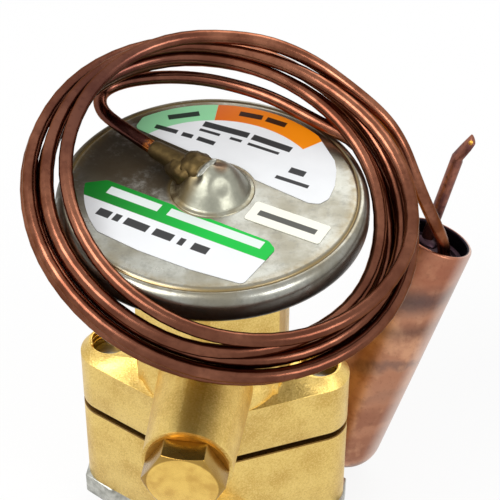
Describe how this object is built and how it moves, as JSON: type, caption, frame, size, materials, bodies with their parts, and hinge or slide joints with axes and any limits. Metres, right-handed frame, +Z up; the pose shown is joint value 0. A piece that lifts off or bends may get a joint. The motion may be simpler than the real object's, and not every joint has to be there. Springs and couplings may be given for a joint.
{
  "type": "thermostatic expansion valve",
  "caption": "Brass refrigerant expansion valve with a round steel power head, adjusting stem and cap, and a coiled copper capillary that ends in a sensing bulb.",
  "frame": {"origin": "Centre of the flat base face, on the axis of the valve.", "axes": "+Z up along the valve axis to the head, ears along X, stem boss and inlet towards -Y, outlet and equalizer towards +Y."},
  "size_m": [0.0865, 0.0784, 0.1108],
  "materials": {
    "brass": "sandblasted hot pressed brass",
    "turned_brass": "turned brass",
    "dark_brass": "turned brass, oiled",
    "zinc_steel": "zinc plated steel",
    "stainless": "turned stainless steel",
    "stainless_cover": "pressed stainless steel with heat tint at the weld",
    "spring_steel": "spring wire",
    "gasket": "dark fibre gasket",
    "seal_rubber": "black rubber",
    "braze": "braze metal, heat stained",
    "label_film": "white film with fields of colour",
    "aged_copper": "copper with brown and salmon patina",
    "capillary_copper": "drawn copper with brown patina"
  },
  "bodies": {
    "valve": {"flange_body": "brass", "upper_body": "brass", "flange_screw_left": "zinc_steel", "flange_screw_right": "zinc_steel", "cage_body": "dark_brass", "cage_seat": "stainless", "cage_spring_retainer": "dark_brass", "lower_gasket": "gasket", "upper_gasket": "gasket", "push_rod_seal": "seal_rubber", "cage_spring": "spring_steel", "superheat_spring": "spring_steel", "gland_nut": "dark_brass", "equalizer_fitting": "turned_brass", "head_lower_cover": "stainless_cover", "diaphragm": "stainless", "head_upper_cover": "stainless_cover", "head_dome": "stainless_cover", "braze_ring": "braze", "capillary_socket": "braze", "upper_label": "label_film", "lower_label": "label_film", "batch_label": "label_film", "bulb_shell": "aged_copper", "bulb_end_plug": "aged_copper", "charging_stub": "aged_copper", "capillary_tube": "capillary_copper"},
    "pin_train": {"valve_pin": "stainless", "diaphragm_plate": "stainless", "push_rod": "stainless"},
    "stem": {"adjusting_stem": "stainless", "stem_seal_ring": "seal_rubber"},
    "crown": {"crown_gear": "dark_brass"},
    "seat": {"spring_seat": "dark_brass"},
    "cap": {"seal_cap": "turned_brass", "cap_gasket": "gasket"}
  },
  "joints": [
    {"name": "pin_stroke", "type": "slide", "parent": "valve", "child": "pin_train", "axis": [0, 0, -1], "range_m": [0, 0.0008], "stiffness_N_per_m": 3000, "springref_m": -0.001, "deforming": ["cage_spring", "superheat_spring"]},
    {"name": "stem_turn", "type": "hinge", "parent": "valve", "child": "stem", "pos_m": [0, 0, 0.05], "axis": [0, -1, 0], "range_deg": [-720, 720]},
    {"name": "crown_turn", "type": "hinge", "parent": "valve", "child": "crown", "pos_m": [0, 0, 0.056], "axis": [0, 0, 1], "range_deg": [-412, 412]},
    {"name": "seat_travel", "type": "slide", "parent": "valve", "child": "seat", "axis": [0, 0, 1], "range_m": [-0.00115, 0.00115], "deforming": ["superheat_spring"]},
    {"name": "cap_pull", "type": "slide", "parent": "valve", "child": "cap", "axis": [0, -1, 0], "range_m": [0, 0.013]}
  ],
  "couplings": [
    {"joint": "crown_turn", "follows": "stem_turn", "ratio": -0.57143},
    {"joint": "seat_travel", "follows": "stem_turn", "m_per_rad": -0.000090946}
  ]
}
